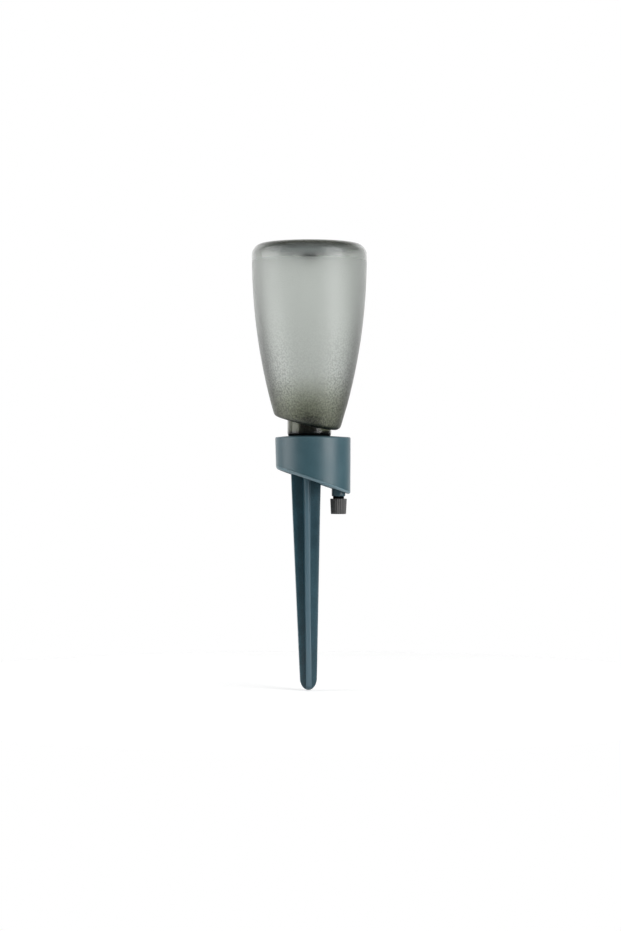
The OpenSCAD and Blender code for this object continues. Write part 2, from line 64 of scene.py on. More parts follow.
def node_box(node):
    """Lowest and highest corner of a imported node, in millimetres."""
    low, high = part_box(node)
    return low / MM, high / MM


def axis_x(node):
    """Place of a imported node's upright axis along X, in millimetres."""
    low, high = node_box(node)
    return (low.x + high.x) / 2


BOTTLE_X = axis_x("neck_gasket")
DRUM_X = axis_x("holder_shell")
VALVE_X = axis_x("knob_seal")
DECK_Z = node_box("holder_shell")[1].z
COLLAR_Z = node_box("neck_gasket")[1].z
NECK_Z, TOP_Z = (corner.z for corner in node_box("bottle"))
PIPE_Z = node_box("knob_seal")[1].z
STEM_Z = node_box("outlet_pipe")[0].z
SPIGOT_TOP_Z = node_box("outlet_pipe")[1].z
KNOB_Z, KNOB_TOP_Z = (corner.z for corner in node_box("drip_knob"))
ARM_Z = node_box("metering_needle")[0].z


def length(name, description, mm):
    """A length that a user may change, given in millimetres."""
    return FloatProperty(
        name=name, description=description, default=mm * MM, min=0, unit="LENGTH", precision=5
    )


def degrees(name, description, value):
    """An angle that a user may change, given in degrees."""
    return FloatProperty(
        name=name, description=description, default=math.radians(value), subtype="ANGLE"
    )


def share(name, description, value, top=1.0):
    """A plain number that a user may change."""
    return FloatProperty(name=name, description=description, default=value, min=0, max=top)


def colour(name, description, value):
    """A colour that a user may change."""
    return FloatVectorProperty(
        name=name, description=description, default=value, min=0, max=1, subtype="COLOR"
    )


class BottleSizes(bpy.types.PropertyGroup):
    """Sizes of the bottle."""

    widest: length("Widest radius", "Radius of the bottle at its widest level", 42.5)
    widest_drop: length("Widest level", "Depth of the widest level below the top", 10)
    side_curve: length("Side curve", "Radius of the curve along the side", 419.6)
    corner: length("Base corner", "Rounding between the side and the seat ring", 8.5)
    seat_inner: length("Seat ring", "Inner radius of the seat ring", 31.2)
    hollow: length("Hollow", "Depth of the hollow in the base", 6.8)
    hollow_flat: length("Hollow flat", "Radius of the flat middle of the hollow", 6.3)
    vent_hole: length("Vent hole", "Radius of the hole for the vent plug", 4)
    shoulder_rise: length("Shoulder", "Height of the shoulder above the collar", 7.5)
    shoulder_tilt: degrees("Shoulder slant", "Slant of the shoulder", 14)
    shoulder_turn: degrees("Shoulder turn", "Direction in which the shoulder slants", -24)
    shoulder_round: length("Shoulder rounding", "Length of the rounding on the rim", 3.4)
    collar: length("Collar", "Radius of the collar over the gasket", 16.2)
    neck: length("Neck", "Radius of the neck under its thread", 11.6)
    bore: length("Neck bore", "Radius of the bore in the neck", 9.6)
    lip: length("Lip", "Height of the seat ring's inner edge", 1.6)
    wall: length("Base wall", "Thickness of the wall in the hollow", 2.2)
    side_wall: length("Side wall", "Thickness of the wall at the side", 1.4)
    collar_wall: length("Collar wall", "Thickness of the wall at the collar", 1.6)
    neck_wall: length("Neck wall", "Thickness of the wall at the neck", 2)
    ridge: length("Thread ridge", "Height of the thread's ridge", 1.1)
    ridge_width: length("Thread width", "Width of the ridge at its root", 1.8)
    pitch: length("Thread pitch", "Pitch of the thread", 4)
    turns: share("Thread turns", "Turns of the ridge", 1.75, 5)
    columns: IntProperty(name="Columns", description="Faces round the bottle", default=160, min=32)


class DrumSizes(bpy.types.PropertyGroup):
    """Sizes of the drum."""

    top: length("Top radius", "Radius of the drum under its top edge", 27.9)
    low: length("Low radius", "Radius of the drum at its lowest level", 27.3)
    low_out: length("Low shift", "How far the lowest level stands out toward the valve", 0.45)
    low_z: length("Lowest level", "Height of the lowest level over the tip", 144.7)
    rim_z: length("Rim", "Height of the slanted rim on the bottle's axis", 155)
    rim_tilt: degrees("Rim slant", "Slant of the rim", 19.3)
    rim_round: length("Rim rounding", "Length of the rounding along the rim", 2.2)
    groove_rise: length("Groove level", "Height of the fine groove above the rim", 2.2)
    groove: length("Groove", "Depth of the fine groove", 0.25)
    deck_round: length("Top rounding", "Rounding of the top edge", 1)
    crown: length("Crown", "How far the top's middle stands over its edge", 0.8)
    crown_out: length("Crown radius", "Radius of the crown's flat middle", 17)
    deck: length("Top thickness", "Thickness of the drum's top", 2.4)
    bore: length("Bore", "Radius of the drum's bore", 25)
    ledge: length("Ledge", "Width of the ledge over the base seal", 1.6)
    ledge_rise: length("Ledge level", "Height of the ledge above the rim", 5)
    ledge_deep: length("Ledge thickness", "Thickness of the ledge", 2)
    hole: length("Socket hole", "Radius of the hole for the socket", 15.04)
    plate_rise: length("Plate level", "Height of the base plate above the rim", 1.6)
    columns: IntProperty(name="Columns", description="Faces round the drum", default=160, min=32)


class SpikeSizes(bpy.types.PropertyGroup):
    """Sizes of the ground spike."""

    top: length("Top radius", "Half the width across the ribs at the rim", 11)
    low: length("Low radius", "Half the width across the ribs over the tip", 6.4)
    tip: length("Tip", "Length of the rounded tip", 9)
    root: length("Rib root", "Half the thickness of a rib at its root", 2.15)
    edge: length("Rib edge", "Half the thickness of a rib at its edge", 1.7)
    soft_edge: length("Soft edge", "Rounding of the long edges", 0.5)
    lean: degrees("Lean", "Lean of the spike, away from the valve", 0.72)
    plug: length("Plug", "Radius of the plug on top", 5.5)
    plug_high: length("Plug height", "Length of the plug over the base plate's underside", 8)


class ValveSizes(bpy.types.PropertyGroup):
    """Sizes of the outlet pipe and its knob."""

    pipe: length("Pipe", "Radius of the outlet pipe", 5.05)
    pipe_bore: length("Pipe bore", "Radius of the bore in the pipe", 1.5)
    spigot: length("Spigot", "Radius of the spigot through the base plate", 3)
    barb: length("Barb", "How far the snap barb stands out", 0.5)
    barb_high: length("Barb height", "Height of the snap barb", 1.6)
    groove: length("Groove", "Radius of the seal's groove", 2.3)
    groove_high: length("Groove height", "Height of the seal's groove", 1.4)
    stem: length("Stem", "Radius of the stem inside the knob", 3.2)
    core: length("Stem core", "Radius of the stem under its thread", 2.65)
    journal: length("Journal", "Length of the stem's smooth part", 4.4)
    seat: length("Seat", "Radius of the valve's seat", 0.75)
    seat_high: length("Seat length", "Length of the valve's seat", 2)
    ridge_width: length("Thread width", "Width of the stem's ridge at its root", 0.8)
    pitch: length("Thread pitch", "Pitch of the stem's thread", 2)
    turns: share("Thread turns", "Turns of the ridge", 1.25, 5)
    knob_top: length("Knob top", "Radius over the ribs at the knob's top", 6.15)
    knob_low: length("Knob end", "Radius over the ribs at the knob's lower end", 5.6)
    rib: length("Rib", "Depth of the grooves between the knob's ribs", 0.32)
    knob_bore: length("Knob bore", "Radius of the knob's bore", 3.35)
    drip: length("Drip outlet", "Radius of the drip outlet", 3)
    hub: length("Hub", "Radius of the hub round the needle", 1.75)
    hub_high: length("Hub height", "Height of the hub's top over the knob's end", 4)
    needle: length("Needle", "Radius of the needle's foot", 0.95)
    arm: length("Arm", "Thickness of an arm that holds the hub", 1.2)
    ribs: IntProperty(name="Ribs", description="Ribs round the knob", default=26, min=8)


class RubberSizes(bpy.types.PropertyGroup):
    """Sizes of the rubber pieces that show."""

    gasket: length("Gasket", "Outer radius of the neck gasket", 15.9)
    gasket_bore: length("Gasket bore", "Inner radius of the neck gasket", 11.64)
    seal: length("Knob seal", "Outer radius of the ring over the knob", 4.1)
    seal_bore: length("Knob seal bore", "Inner radius of that ring", 3.24)
    vent: length("Vent plug", "Radius of the vent plug's head", 6)
    vent_neck: length("Vent neck", "Radius of the plug in its hole", 3.96)
    vent_bead: length("Vent bead", "Radius of the bead inside the bottle", 5.2)
    vent_thick: length("Vent thickness", "Thickness of the head and of the bead", 1.2)
    breather: length("Breather", "Radius of the breather hole", 0.5)


class Finishes(bpy.types.PropertyGroup):
    """Colours of the part."""

    smoke: colour("Smoke", "Tint of the bottle's wall", (0.785, 0.81, 0.785))
    smoke_low: colour("Low smoke", "Tint of the wall near the shoulder", (0.43, 0.455, 0.35))
    smoke_base: colour("Base smoke", "Tint of the hollowed base", (0.43, 0.47, 0.48))
    smoke_seat: colour("Seat smoke", "Tint of the thick seat ring", (0.13, 0.14, 0.115))
    smoke_edge: share("Edge smoke", "Share of light through the wall where it turns away", 0.42)
    smoke_pebble: share("Pebble smoke", "How much darker the wall is between its pebbles", 0.5)
    smoke_middle: share("Middle smoke", "How much darker the wall is where it faces the eye", 0.14)
    smoke_clear: share("Clear smoke", "How much darker the unfrosted parts are", 0.14)
    smoke_top: share("Top smoke", "How much darker the wall is toward its base", 0.07)
    smoke_collar: share("Collar smoke", "How much darker the collar is", 0.3)
    # Painted shade on the shoulder's underside, where it faces down
    smoke_under: share("Painted underside shade", "How much painted shade darkens the shoulder's underside", 0.75)
    teal: colour("Teal", "Drum plastic", (0.044, 0.107, 0.133))
    # Painted highlight: a paler teal along the drum's rim, for light from below
    teal_rim: colour("Rim painted highlight", "Painted highlight along the drum's rim, for light from below", (0.13, 0.22, 0.26))
    dark_teal: colour("Dark teal", "Spike and base plate plastic", (0.023, 0.074, 0.100))
    # Painted light: the ribs' outward faces are paler, for light that the recesses between them
    # miss
    teal_edge: colour("Rib painted light", "Painted light on the spike's ribs where they face straight out", (0.085, 0.155, 0.195))
    gloss_teal: colour("Glossy teal", "Outlet pipe plastic", (0.014, 0.068, 0.094))
    grey: colour("Grey", "Knob plastic", (0.06, 0.06, 0.059))
    black: colour("Black", "Strainer and needle plastic", (0.005, 0.006, 0.006))
    rubber: colour("Rubber", "Rubber rings and the vent plug", (0.002, 0.0025, 0.003))


class StageSettings(bpy.types.PropertyGroup):
    """Camera, lamps and floor."""

    distance: length("Distance", "Distance of the camera from the object", 1700)
    camera_z: length("Camera height", "Height of the level camera over the tip", 166.05)
    aim_x: length("Aim", "How far to the valve's side the camera aims", 1.48)
    turn: degrees("Turn", "How far the camera stands round to the left", 4.2)
    frame_high: length("Frame height", "Height of the view at the object", 688.6)
    floor: length("Floor", "Radius of the floor", 360)
    floor_glow: share("Floor glow", "Light that makes the floor white for the camera", 0.5)
    lamp_left: share("Left lamp", "Power of the left soft box, in watts", 10.0, 500)
    lamp_right: share("Right lamp", "Power of the right soft box, in watts", 12.5, 500)
    lamp_low: share("Low lamps", "Power of each low box, which shows only in gloss", 9.0, 500)
    lamp_rear: share("Rear lamps", "Power of each rear soft box, in watts", 1.0, 500)
    lamp_top: share("Top lamp", "Power of the overhead soft box, in watts", 3.0, 500)
    fill: share("Fill", "Strength of the sky that lights matt surfaces", 0.1, 5)
    gloss: share("Gloss", "Strength of the sky that shows in gloss", 0.1, 5)
    backdrop: share("Backdrop", "Strength in gloss of the bright sky behind and below", 0.9, 5)
    backdrop_fill: share("Backdrop fill", "Share of it that lights matt surfaces", 0.4)


# Modelling: the face of a circle is extruded along rings of points


def own_settings(group):
    """A group's own settings, without those that every group has."""
    return [p for p in group.bl_rna.properties if p.identifier not in {"rna_type", "name"}]


def in_mm(group):
    """A group's values by name, its lengths in millimetres and its angles in radians."""
    values = {}
    for setting in own_settings(group):
        value = getattr(group, setting.identifier)
        values[setting.identifier] = value / MM if setting.unit == "LENGTH" else value
    return SimpleNamespace(**values)


def deselect():
    """Leaves edit mode and selects nothing."""
    if bpy.context.object and bpy.context.object.mode != "OBJECT":
        bpy.ops.object.mode_set(mode="OBJECT")
    bpy.ops.object.select_all(action="DESELECT")


def only(piece):
    """Makes piece the one selected and active object."""
    deselect()
    piece.select_set(True)
    bpy.context.view_layer.objects.active = piece


def extrude_rings(name, rings, closed=False, capped=True):
    """Extrudes a circle's face from the first ring to each other, and back if closed."""
    deselect()
    bpy.ops.mesh.primitive_circle_add(
        vertices=len(rings[0]), radius=1, fill_type="NGON", enter_editmode=True
    )
    piece = bpy.context.object
    piece.name = piece.data.name = name
    bm = bmesh.from_edit_mesh(piece.data)
    column = bm.verts.layers.int.new("column")
    for index, vertex in enumerate(bm.verts):
        vertex[column] = index
        vertex.co = rings[0][index]
    bmesh.update_edit_mesh(piece.data)
    bpy.ops.mesh.select_mode(type="FACE")
    bpy.ops.mesh.select_all(action="SELECT")
    for ring in rings[1:] + (rings[:1] if closed else []):
        bpy.ops.mesh.extrude_region()
        bm = bmesh.from_edit_mesh(piece.data)
        column = bm.verts.layers.int["column"]
        for face in bm.faces:
            if face.select:
                for vertex in face.verts:
                    vertex.co = ring[vertex[column]]
        bmesh.update_edit_mesh(piece.data)
    if closed or not capped:
        bpy.ops.mesh.select_all(action="DESELECT")
        bm = bmesh.from_edit_mesh(piece.data)
        for face in bm.faces:
            face.select_set(len(face.verts) > 4)
        bmesh.update_edit_mesh(piece.data)
        bpy.ops.mesh.delete(type="ONLY_FACE")
    bpy.ops.mesh.select_all(action="SELECT")
    bpy.ops.mesh.remove_doubles(threshold=1e-6)
    bpy.ops.mesh.dissolve_degenerate(threshold=1e-6)
    bpy.ops.mesh.select_all(action="SELECT")
    bpy.ops.mesh.normals_make_consistent(inside=False)
    return piece


def bevel_columns(piece, columns, above, offset):
    """Rounds the long edges that run up the given columns, above a height."""
    bpy.ops.mesh.select_mode(type="EDGE")
    bpy.ops.mesh.select_all(action="DESELECT")
    bm = bmesh.from_edit_mesh(piece.data)
    column = bm.verts.layers.int["column"]
    for edge in bm.edges:
        a, b = edge.verts
        if a[column] == b[column] and a[column] in columns:
            edge.select_set(min(a.co.z, b.co.z) > above * MM)
    bmesh.update_edit_mesh(piece.data)
    bpy.ops.mesh.bevel(offset=offset * MM, segments=3, affect="EDGES", clamp_overlap=False)


def finish_piece(piece, body, material, replaced, smooth=35):
    """Shades the piece, gives it its material and ties it to its body."""
    only(piece)
    bpy.ops.object.transform_apply(location=True, rotation=True, scale=True)
    column = piece.data.attributes.get("column")
    if column:
        piece.data.attributes.remove(column)
    bpy.ops.object.shade_smooth_by_angle(angle=math.radians(smooth))
    piece.data.materials.clear()
    piece.data.materials.append(material)
    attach(piece, body)
    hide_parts(*replaced)


def rounded(corners):
    """Outline through corners (r, z), or (r, z, cut, steps) where an arc cuts one off."""
    outline = []
    for i, (r, z, *arc) in enumerate(corners):
        here = Vector((r, z))
        if not arc:
            outline.append(here)
            continue
        cut, steps = arc
        back = (Vector(corners[i - 1][:2]) - here).normalized()
        ahead = (Vector(corners[i + 1][:2]) - here).normalized()
        weight = math.sin(back.angle(ahead) / 2)
        start, end = here + back * cut, here + ahead * cut
        for k in range(steps + 1):
            t = k / steps
            w = (1 - t) ** 2, 2 * weight * t * (1 - t), t * t
            outline.append((start * w[0] + here * w[1] + end * w[2]) / sum(w))
    return outline


def turn(outline_at, axis, columns):
    """Rings of points for an outline that may change round an upright axis."""
    turned = []
    for a in (2 * math.pi * i / columns for i in range(columns)):
        turned.append([
            Vector((axis + p.x * math.cos(a), p.x * math.sin(a), p.y)) * MM
            for p in outline_at(a)
        ])
    return [list(ring) for ring in zip(*turned)]


def spread(start, end, steps):
    """Evenly spaced values from start to end."""
    return [start + (end - start) * i / steps for i in range(steps + 1)]


def settle(value, nearer):
    """The value at which nearer gives the same value again."""
    for _ in range(6):
        value = nearer(value)
    return value


def thread(angle, z, start, s, height):
    """How far a thread's ridge stands out at an angle and height; its ends run out softly."""
    total = 360 * s.turns
    best = 0
    for lap in range(math.ceil(s.turns)):
        a = math.degrees(angle) % 360 + 360 * lap
        if a <= total:
            off = abs(z - start - s.pitch * a / 360)
            flank = (s.ridge_width / 2 - off) / (s.ridge_width / 4)
            ends = min(1, a / 30, (total - a) / 30)
            best = max(best, height * ends * min(1, max(0, flank)))
    return best


def slanted(z, tilt, x):
    """Height at x of a plane that slants down toward the valve, z on the bottle's axis."""
    return z - (x - BOTTLE_X) * math.tan(tilt)


# Materials


def add(tree, kind, inputs=None, **settings):
    """Adds a shader node; inputs take plain values or the outputs of other nodes."""
    new = tree.nodes.new(kind if kind.startswith("NodeGroup") else "ShaderNode" + kind)
    for key, value in settings.items():
        setattr(new, key, value)
    for key, value in (inputs or {}).items():
        socket = new.inputs[key]
        if isinstance(value, bpy.types.NodeSocket):
            tree.links.new(value, socket)
        else:
            socket.default_value = value
    return new


def calc(tree, operation, *values, **settings):
    """The result of a Math node."""
    inputs = dict(enumerate(values))
    return add(tree, "Math", inputs, operation=operation, **settings).outputs[0]


def vector(tree, operation, *values):
    """The outputs of a Vector Math node."""
    inputs = dict(enumerate(values))
    return add(tree, "VectorMath", inputs, operation=operation).outputs


def scaled(tree, value, by):
    """A colour made lighter or darker."""
    inputs = {0: value, "Scale": by}
    return add(tree, "VectorMath", inputs, operation="SCALE").outputs[0]


def ramp(tree, value, low, high, start=0.0, end=1.0, shape="SMOOTHSTEP"):
    """Runs softly from start to end while the value goes from low to high."""
    return add(
        tree, "MapRange",
        {"Value": value, "From Min": low, "From Max": high, "To Min": start, "To Max": end},
        interpolation_type=shape,
    ).outputs["Result"]


def line(tree, value, low, high, start=0.0, end=1.0):
    """The same in a straight line."""
    return ramp(tree, value, low, high, start, end, "LINEAR")


def mix(tree, mask, under, over):
    """One colour laid over another where the mask is 1."""
    return add(tree, "Mix", {0: mask, 6: under, 7: over}, data_type="RGBA").outputs[2]


def on_piece(tree):
    """The piece's own coordinates."""
    return add(tree, "TexCoord").outputs["Object"]


def noise(tree, place, scale, detail, roughness=0.5):
    """Noise from 0 to 1."""
    return add(
        tree, "TexNoise",
        {"Vector": place, "Scale": scale, "Detail": detail, "Roughness": roughness},
    ).outputs["Fac"]


def cells(tree, place, scale, smoothness):
    """Distance from the middles of rounded cells."""
    return add(
        tree, "TexVoronoi",
        {"Vector": place, "Scale": scale, "Smoothness": smoothness}, feature="SMOOTH_F1",
    ).outputs["Distance"]


def shared(tree, name, fill, inputs):
    """Outputs of a shared node group, which fill makes from its inputs at its first use."""
    made = bpy.data.node_groups.get(name)
    if not made:
        made = bpy.data.node_groups.new(name, "ShaderNodeTree")

        def sockets(labels, side):
            for label in labels:
                kind = "Color" if label.endswith("Color") else "Float"
                made.interface.new_socket(
                    name=label, in_out=side, socket_type="NodeSocket" + kind
                )

        sockets(inputs, "INPUT")
        results = fill(made, add(made, "NodeGroupInput").outputs)
        sockets(results, "OUTPUT")
        add(made, "NodeGroupOutput", results)
    return add(tree, "Group", inputs, node_tree=made).outputs


def moulded_grain(tree, given):
    """Fine grain of a moulded surface, with slow blotches in it."""
    place = on_piece(tree)
    fine = noise(tree, place, given["Grain Scale"], 2.0, 0.6)
    grains = cells(tree, place, given["Grain Scale"], 0.6)
    slow = noise(tree, place, given["Blotch Scale"], 4.0, 0.55)
    return {"Height": calc(tree, "MULTIPLY_ADD", grains, 0.5, fine), "Shade": slow}


def worn_edges(tree, given):
    """Mixes a second colour in, in patches, where the surface is sharply convex."""
    shape = add(tree, "NewGeometry").outputs["Pointiness"]
    sharp = line(tree, shape, 0.52, 0.60)
    patchy = noise(tree, on_piece(tree), 240.0, 3.0)
    broken = calc(tree, "MULTIPLY", sharp, patchy)
    mask = calc(tree, "MULTIPLY", broken, given["Amount"], use_clamp=True)
    return {"Color": mix(tree, mask, given["Color"], given["Edge Color"])}


def painted_rim_highlight(tree, given):
    """Mask of a band along a slanted rim, where a highlight is painted."""
    spot = add(tree, "SeparateXYZ", {0: on_piece(tree)}).outputs
    across = calc(tree, "SUBTRACT", spot["X"], given["Axis X"])
    level = calc(tree, "MULTIPLY_ADD", across, given["Slope"], spot["Z"])
    height = calc(tree, "SUBTRACT", level, given["Level"])
    beyond = calc(tree, "MULTIPLY", given["Width"], 1.25)
    return {"Mask": ramp(tree, height, given["Width"], beyond, 1.0, 0.0)}


def painted_rib_light(tree, given):
    """Mask for painted light: the surface that faces straight out from the upright axis."""
    flat = vector(tree, "MULTIPLY", on_piece(tree), (1, 1, 0))[0]
    away = vector(tree, "NORMALIZE", flat)[0]
    normal = add(tree, "NewGeometry").outputs["Normal"]
    outward = vector(tree, "DOT_PRODUCT", away, normal)["Value"]
    return {"Mask": ramp(tree, outward, given["Least"], given["Most"])}


def bottle_zones(tree, given):
    """Masks of the bottle's zones, such as its pebbles, its thick base and its clear parts."""
    spot = add(tree, "SeparateXYZ", {0: on_piece(tree)}).outputs
    z = spot["Z"]
    across = calc(tree, "SUBTRACT", spot["X"], given["Axis X"])
    flat = add(tree, "CombineXYZ", {"X": across, "Y": spot["Y"]}).outputs[0]
    radius = vector(tree, "LENGTH", flat)["Value"]
    facing = add(tree, "NewGeometry").outputs["Normal"]
    down = add(tree, "SeparateXYZ", {0: facing}).outputs["Z"]
    low_z, clear_z = given["Low Level"], given["Clear Level"]
    border = 0.0006

    def shifted(level, by):
        return calc(tree, "ADD", level, by)

    def times(a, b):
        return calc(tree, "MULTIPLY", a, b)

    def past(value, level, width, start=0.0, end=1.0):
        return ramp(tree, value, level, shifted(level, width), start, end)

    def reverse(mask):
        return ramp(tree, mask, 0.0, 1.0, 1.0, 0.0)

    edge = ramp(tree, z, given["Edge Level"], given["Edge Top"], 1.0, 0.0)
    below_side = ramp(tree, z, given["Side Level"], given["Side Top"], 1.0, 0.0)
    # Painted shade: low parts of the bottle that face down
    under = times(ramp(tree, down, -0.9, -0.6, 1.0, 0.0), below_side)
    off_collar = past(radius, given["Collar Radius"], border)
    pebbled = ramp(tree, z, low_z, given["Pebble Top"], 1.0, 0.0)
    within = past(radius, given["Base Radius"], border, 1.0, 0.0)
    base = times(within, past(z, clear_z, 0.001))
    top = ramp(tree, z, shifted(clear_z, -0.003), shifted(clear_z, 0.0005))
    frosted = times(
        ramp(tree, off_collar, 0.0, 1.0, 0.25, 1.0), ramp(tree, top, 0.0, 1.0, 1.0, 0.2)
    )
    return {
        "Low": ramp(tree, z, low_z, given["High Level"], 1.0, 0.0),
        "Pebbled": calc(tree, "MAXIMUM", times(pebbled, off_collar), times(base, 0.5)),
        "Base": base,
        "Seat": past(z, given["Seat Level"], 0.0016),
        "Clear": calc(tree, "SUBTRACT", 1.0, frosted),
        "Edge": edge,
        "High": reverse(edge),
        "Under": times(under, off_collar),
        "Collar": reverse(off_collar),
    }


def emptied(owner):
    """The node tree of a new material or world, with nothing in it."""
    owner.use_nodes = True
    owner.node_tree.nodes.clear()
    return owner.node_tree


def new_material(name):
    """An empty material, with its node tree and its shader."""
    made = bpy.data.materials.new(name)
    tree = emptied(made)
    shader = add(tree, "BsdfPrincipled")
    add(tree, "OutputMaterial", {"Surface": shader.outputs[0]})
    return made, tree, shader


def feed(tree, shader, base, roughness, bump):
    """Links the shader's colour, roughness and bump, given as height, strength and depth."""
    inputs = dict(zip(("Height", "Strength", "Distance"), bump))
    normal = add(tree, "Bump", inputs).outputs["Normal"]
    for name, value in (("Base Color", base), ("Roughness", roughness), ("Normal", normal)):
        tree.links.new(value, shader.inputs[name])


# Colour setting, roughness, grain scale, grain depth in metres, variation, wear and gloss
MOULDED = {
    # The spike's plastic has worn edges; ribbed_teal adds painted light on its ribs
    "Worn dark teal with painted rib light": ("dark_teal", 0.36, 1400.0, 0.00003, 0.25, 0.2, 0.55),
    "Satin teal": ("teal", 0.42, 1800.0, 0.00001, 0.05, 0.4, 0.62),
    "Satin dark teal": ("dark_teal", 0.4, 2200.0, 0.00002, 0.22, 0.35, 0.5),
    "Glossy dark teal": ("gloss_teal", 0.42, 2600.0, 0.000004, 0.06, 0.3, 0.62),
    "Matt grey": ("grey", 0.4, 2400.0, 0.000012, 0.08, 0.4, 0.58),
    "Matt black": ("black", 0.5, 2000.0, 0.00001, 0.12, 0.1, 0.12),
    "Soft black rubber": ("rubber", 0.75, 1600.0, 0.00001, 0.15, 0.05, 0.04),
}


def moulded(finish, name):
    """Moulded plastic or rubber, made once: grain, slow changes of shade, and paler edges."""
    if name in bpy.data.materials:
        return bpy.data.materials[name]
    own, roughness, grain, depth, variation, wear, gloss = MOULDED[name]
    base = getattr(finish, own)
    made, tree, shader = new_material(name)
    scales = {"Grain Scale": grain, "Blotch Scale": 60.0}
    grained = shared(tree, "Moulded grain", moulded_grain, scales)
    height, slow = grained["Height"], grained["Shade"]
    shade = line(tree, slow, 0.3, 0.7, 1 - variation, 1 + variation)
    speck = line(tree, height, 0.4, 1.0, 1 - variation, 1 + variation)
    tinted = scaled(tree, base, calc(tree, "MULTIPLY", shade, speck))
    pale = [c + (1 - c) * 0.3 for c in base] + [1]
    worn = shared(
        tree, "Worn edges", worn_edges, {"Color": tinted, "Edge Color": pale, "Amount": wear}
    )
    rough = line(tree, slow, 0.3, 0.7, roughness - 0.05, roughness + 0.05)
    feed(tree, shader, worn["Color"], rough, (height, 1.0, depth))
    shader.inputs["Specular IOR Level"].default_value = gloss
    return made


def lay_over(made, name, fill, inputs, colour_over):
    """Mixes a colour over a material's own where the mask of a shared group is 1."""
    tree = made.node_tree
    shader = next(n for n in tree.nodes if n.type == "BSDF_PRINCIPLED")
    own = shader.inputs["Base Color"].links[0].from_socket
    mask = shared(tree, name, fill, inputs)["Mask"]
    tree.links.new(mix(tree, mask, own, [*colour_over, 1]), shader.inputs["Base Color"])
    return made


def ribbed_teal(finish):
    """The spike's dark plastic, with painted light where its ribs face straight out."""
    made = moulded(finish, "Worn dark teal with painted rib light")
    facing = {"Least": 0.76, "Most": 0.92}
    # Painted light on the ribs' outward faces; the recesses between them stay darker
    return lay_over(made, "Painted rib light", painted_rib_light, facing, finish.teal_edge)


def satin_teal(finish, drum):
    """The drum's satin plastic, with a painted highlight along its rim."""
    made = moulded(finish, "Satin teal")
    band = {
        "Axis X": BOTTLE_X * MM, "Level": drum.rim_z, "Slope": math.tan(drum.rim_tilt),
        "Width": drum.groove_rise - drum.groove,
    }
    # Painted highlight along the rim, where light from below would fall
    return lay_over(made, "Painted rim highlight", painted_rim_highlight, band, finish.teal_rim)


def smoky_plastic(finish):
    """Frosted, smoky, see-through plastic of the bottle."""
    made, tree, shader = new_material("Frosted smoke")
    zones = shared(tree, "Bottle zones", bottle_zones, {
        "Axis X": BOTTLE_X * MM, "Base Radius": 0.0318, "Collar Radius": 0.0166,
        "Low Level": 0.2, "Side Level": 0.212, "Side Top": 0.216, "High Level": 0.236,
        "Edge Level": 0.238, "Pebble Top": 0.29, "Clear Level": 0.318, "Edge Top": 0.322,
        "Seat Level": 0.3262,
    })
    place = on_piece(tree)
    pebbles = cells(tree, place, 740.0, 0.25)
    height = calc(tree, "MULTIPLY_ADD", noise(tree, place, 1500.0, 3.0), 0.3, pebbles)
    tint = [*finish.smoke, 1]
    for zone in ("Low", "Base", "Seat"):
        tint = mix(tree, zones[zone], tint, [*getattr(finish, "smoke_" + zone.lower()), 1])
    facing = add(tree, "LayerWeight", {"Blend": 0.5}).outputs["Facing"]
    turned = ramp(tree, facing, 0.28, 0.6, 0.0, 1 - finish.smoke_edge)
    middle = ramp(tree, facing, 0.03, 0.16, finish.smoke_middle, 0.0)
    aside = ramp(tree, facing, 0.03, 0.16, 0.3, 1.0)
    pebble = line(tree, pebbles, 0.2, 0.72, -0.9 * finish.smoke_pebble, finish.smoke_pebble)
    sparkle = calc(tree, "MULTIPLY", pebble, calc(tree, "MAXIMUM", aside, zones["Low"]))
    shade = 1.0
    # Of these, the Under zone is painted shade on the downward-facing underside
    for amount, zone in (
        (turned, "Edge"), (middle, "Edge"), (middle, "Low"), (sparkle, "Pebbled"),
        (finish.smoke_top, "High"), (finish.smoke_clear, "Clear"),
        (finish.smoke_under, "Under"), (finish.smoke_collar, "Collar"),
    ):
        taken = calc(tree, "MULTIPLY", amount, zones[zone])
        shade = calc(tree, "MULTIPLY", shade, calc(tree, "SUBTRACT", 1.0, taken))
    rough = line(tree, zones["Clear"], 0.0, 1.0, 0.4, 0.14)
    strength = line(tree, zones["Pebbled"], 0.0, 1.0, 0.12, 0.6)
    feed(tree, shader, scaled(tree, tint, shade), rough, (height, strength, 0.0007))
    shader.inputs["Transmission Weight"].default_value = 1.0
    shader.inputs["IOR"].default_value = 1.46
    shader.inputs["Specular IOR Level"].default_value = 0.8
    return made


# Pieces and stage, each with its operator


def add_camera(context, stage):
    """Adds the level camera of the photograph's view."""
    data = bpy.data.cameras.new("camera")
    camera = bpy.data.objects.new("camera", data)
    context.scene.collection.objects.link(camera)
    away = Vector((-math.sin(stage.turn), -math.cos(stage.turn), 0))
    across = Vector((math.cos(stage.turn), -math.sin(stage.turn), 0))
    aim = across * stage.aim_x + Vector((0, 0, stage.camera_z))
    camera.location = aim + away * stage.distance
    camera.rotation_euler = (math.pi / 2, 0, -stage.turn)
    data.lens = data.sensor_width * stage.distance / stage.frame_high
    data.clip_start, data.clip_end = 0.1, 50
    context.scene.camera = camera


def add_lamp(context, name, power, turned, height, size):
    """Adds a soft box that faces the object's middle; one below the floor shows only in gloss."""
    data = bpy.data.lights.new(name, "AREA")
    data.shape, data.size, data.size_y = "RECTANGLE", *size
    data.energy = power
    lamp = bpy.data.objects.new(name, data)
    context.scene.collection.objects.link(lamp)
    reach = 1.1 if height < 1 else 0.35
    lamp.visible_diffuse = height > 0
    lamp.visible_transmission = False
    lamp.location = (reach * math.sin(turned), -reach * math.cos(turned), height)
    middle = Vector((0, 0, 0.19))
    lamp.rotation_euler = (middle - lamp.location).to_track_quat("-Z", "Y").to_euler()


